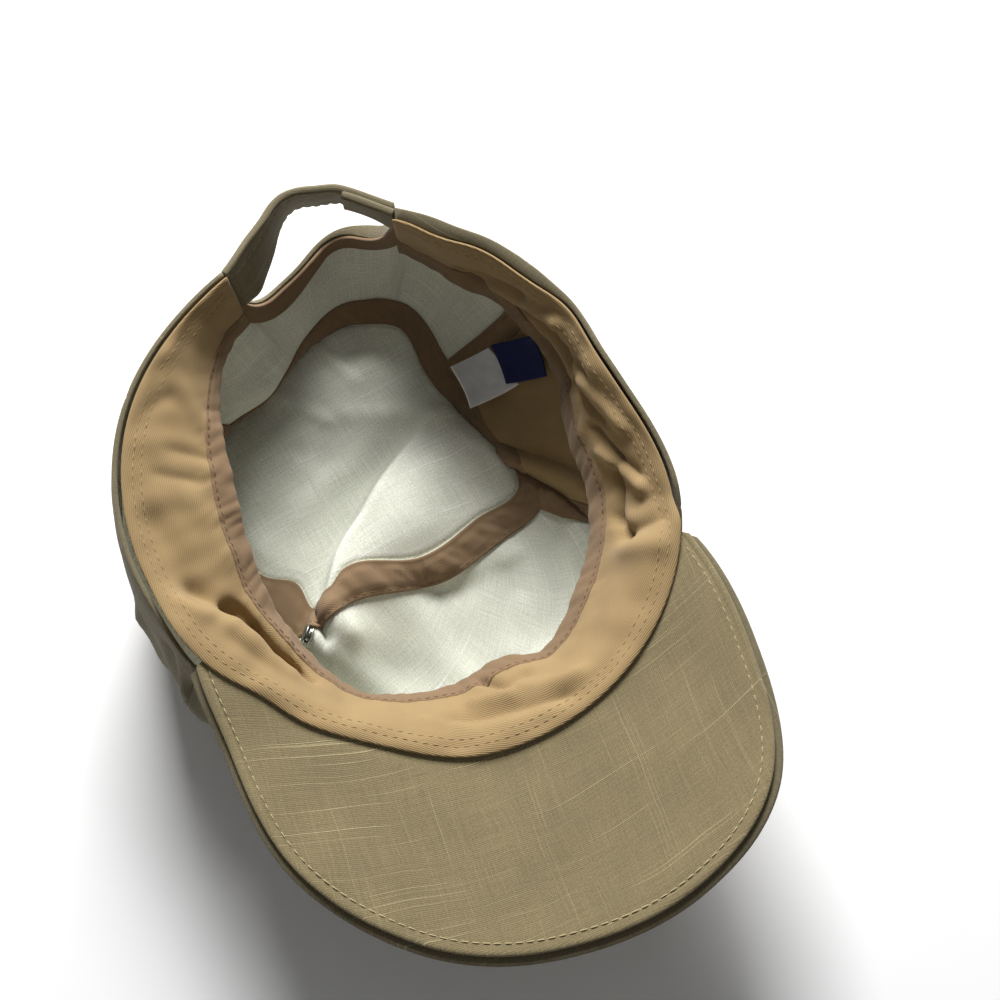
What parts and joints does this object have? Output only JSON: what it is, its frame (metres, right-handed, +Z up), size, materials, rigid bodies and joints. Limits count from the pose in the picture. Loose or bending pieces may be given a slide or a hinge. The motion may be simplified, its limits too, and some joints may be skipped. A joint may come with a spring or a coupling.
{
  "type": "cadet cap",
  "caption": "Soft canvas cadet cap lying upside down on its flat crown, with a short stiff peak, an inner sweatband and a strapped opening at the back.",
  "frame": {"origin": "on the surface that the cap lies on, below the middle of its bounding box", "axes": "+Z up out of the head opening, from the crown top to the rim; -Y towards the front of the peak, +Y towards the strap at the back; +X towards the right in the picture"},
  "size_m": [0.1788, 0.2646, 0.0723],
  "materials": {
    "canvas": "olive slub cotton canvas, with a pale backing on the inside of the crown",
    "twill": "tan cotton twill",
    "tape": "brown cotton bias tape",
    "blue_satin": "plain dark blue satin label",
    "white_satin": "plain white satin label",
    "nickel": "dull nickel"
  },
  "bodies": {
    "root": {"crown_front": "canvas", "crown_side_right": "canvas", "crown_back": "canvas", "crown_side_left": "canvas", "crown_top": "canvas", "tape_top": "tape", "tape_front_right": "tape", "tape_back_right": "tape", "tape_back_left": "tape", "tape_front_left": "tape", "side_lining": "twill", "sweatband": "twill", "sweatband_binding": "tape", "arch_binding": "tape", "strap": "canvas", "strap_under": "canvas", "peak_under": "canvas", "peak_upper": "canvas", "eyelet_left": "nickel", "label_white": "white_satin", "label_blue": "blue_satin"}
  },
  "joints": []
}
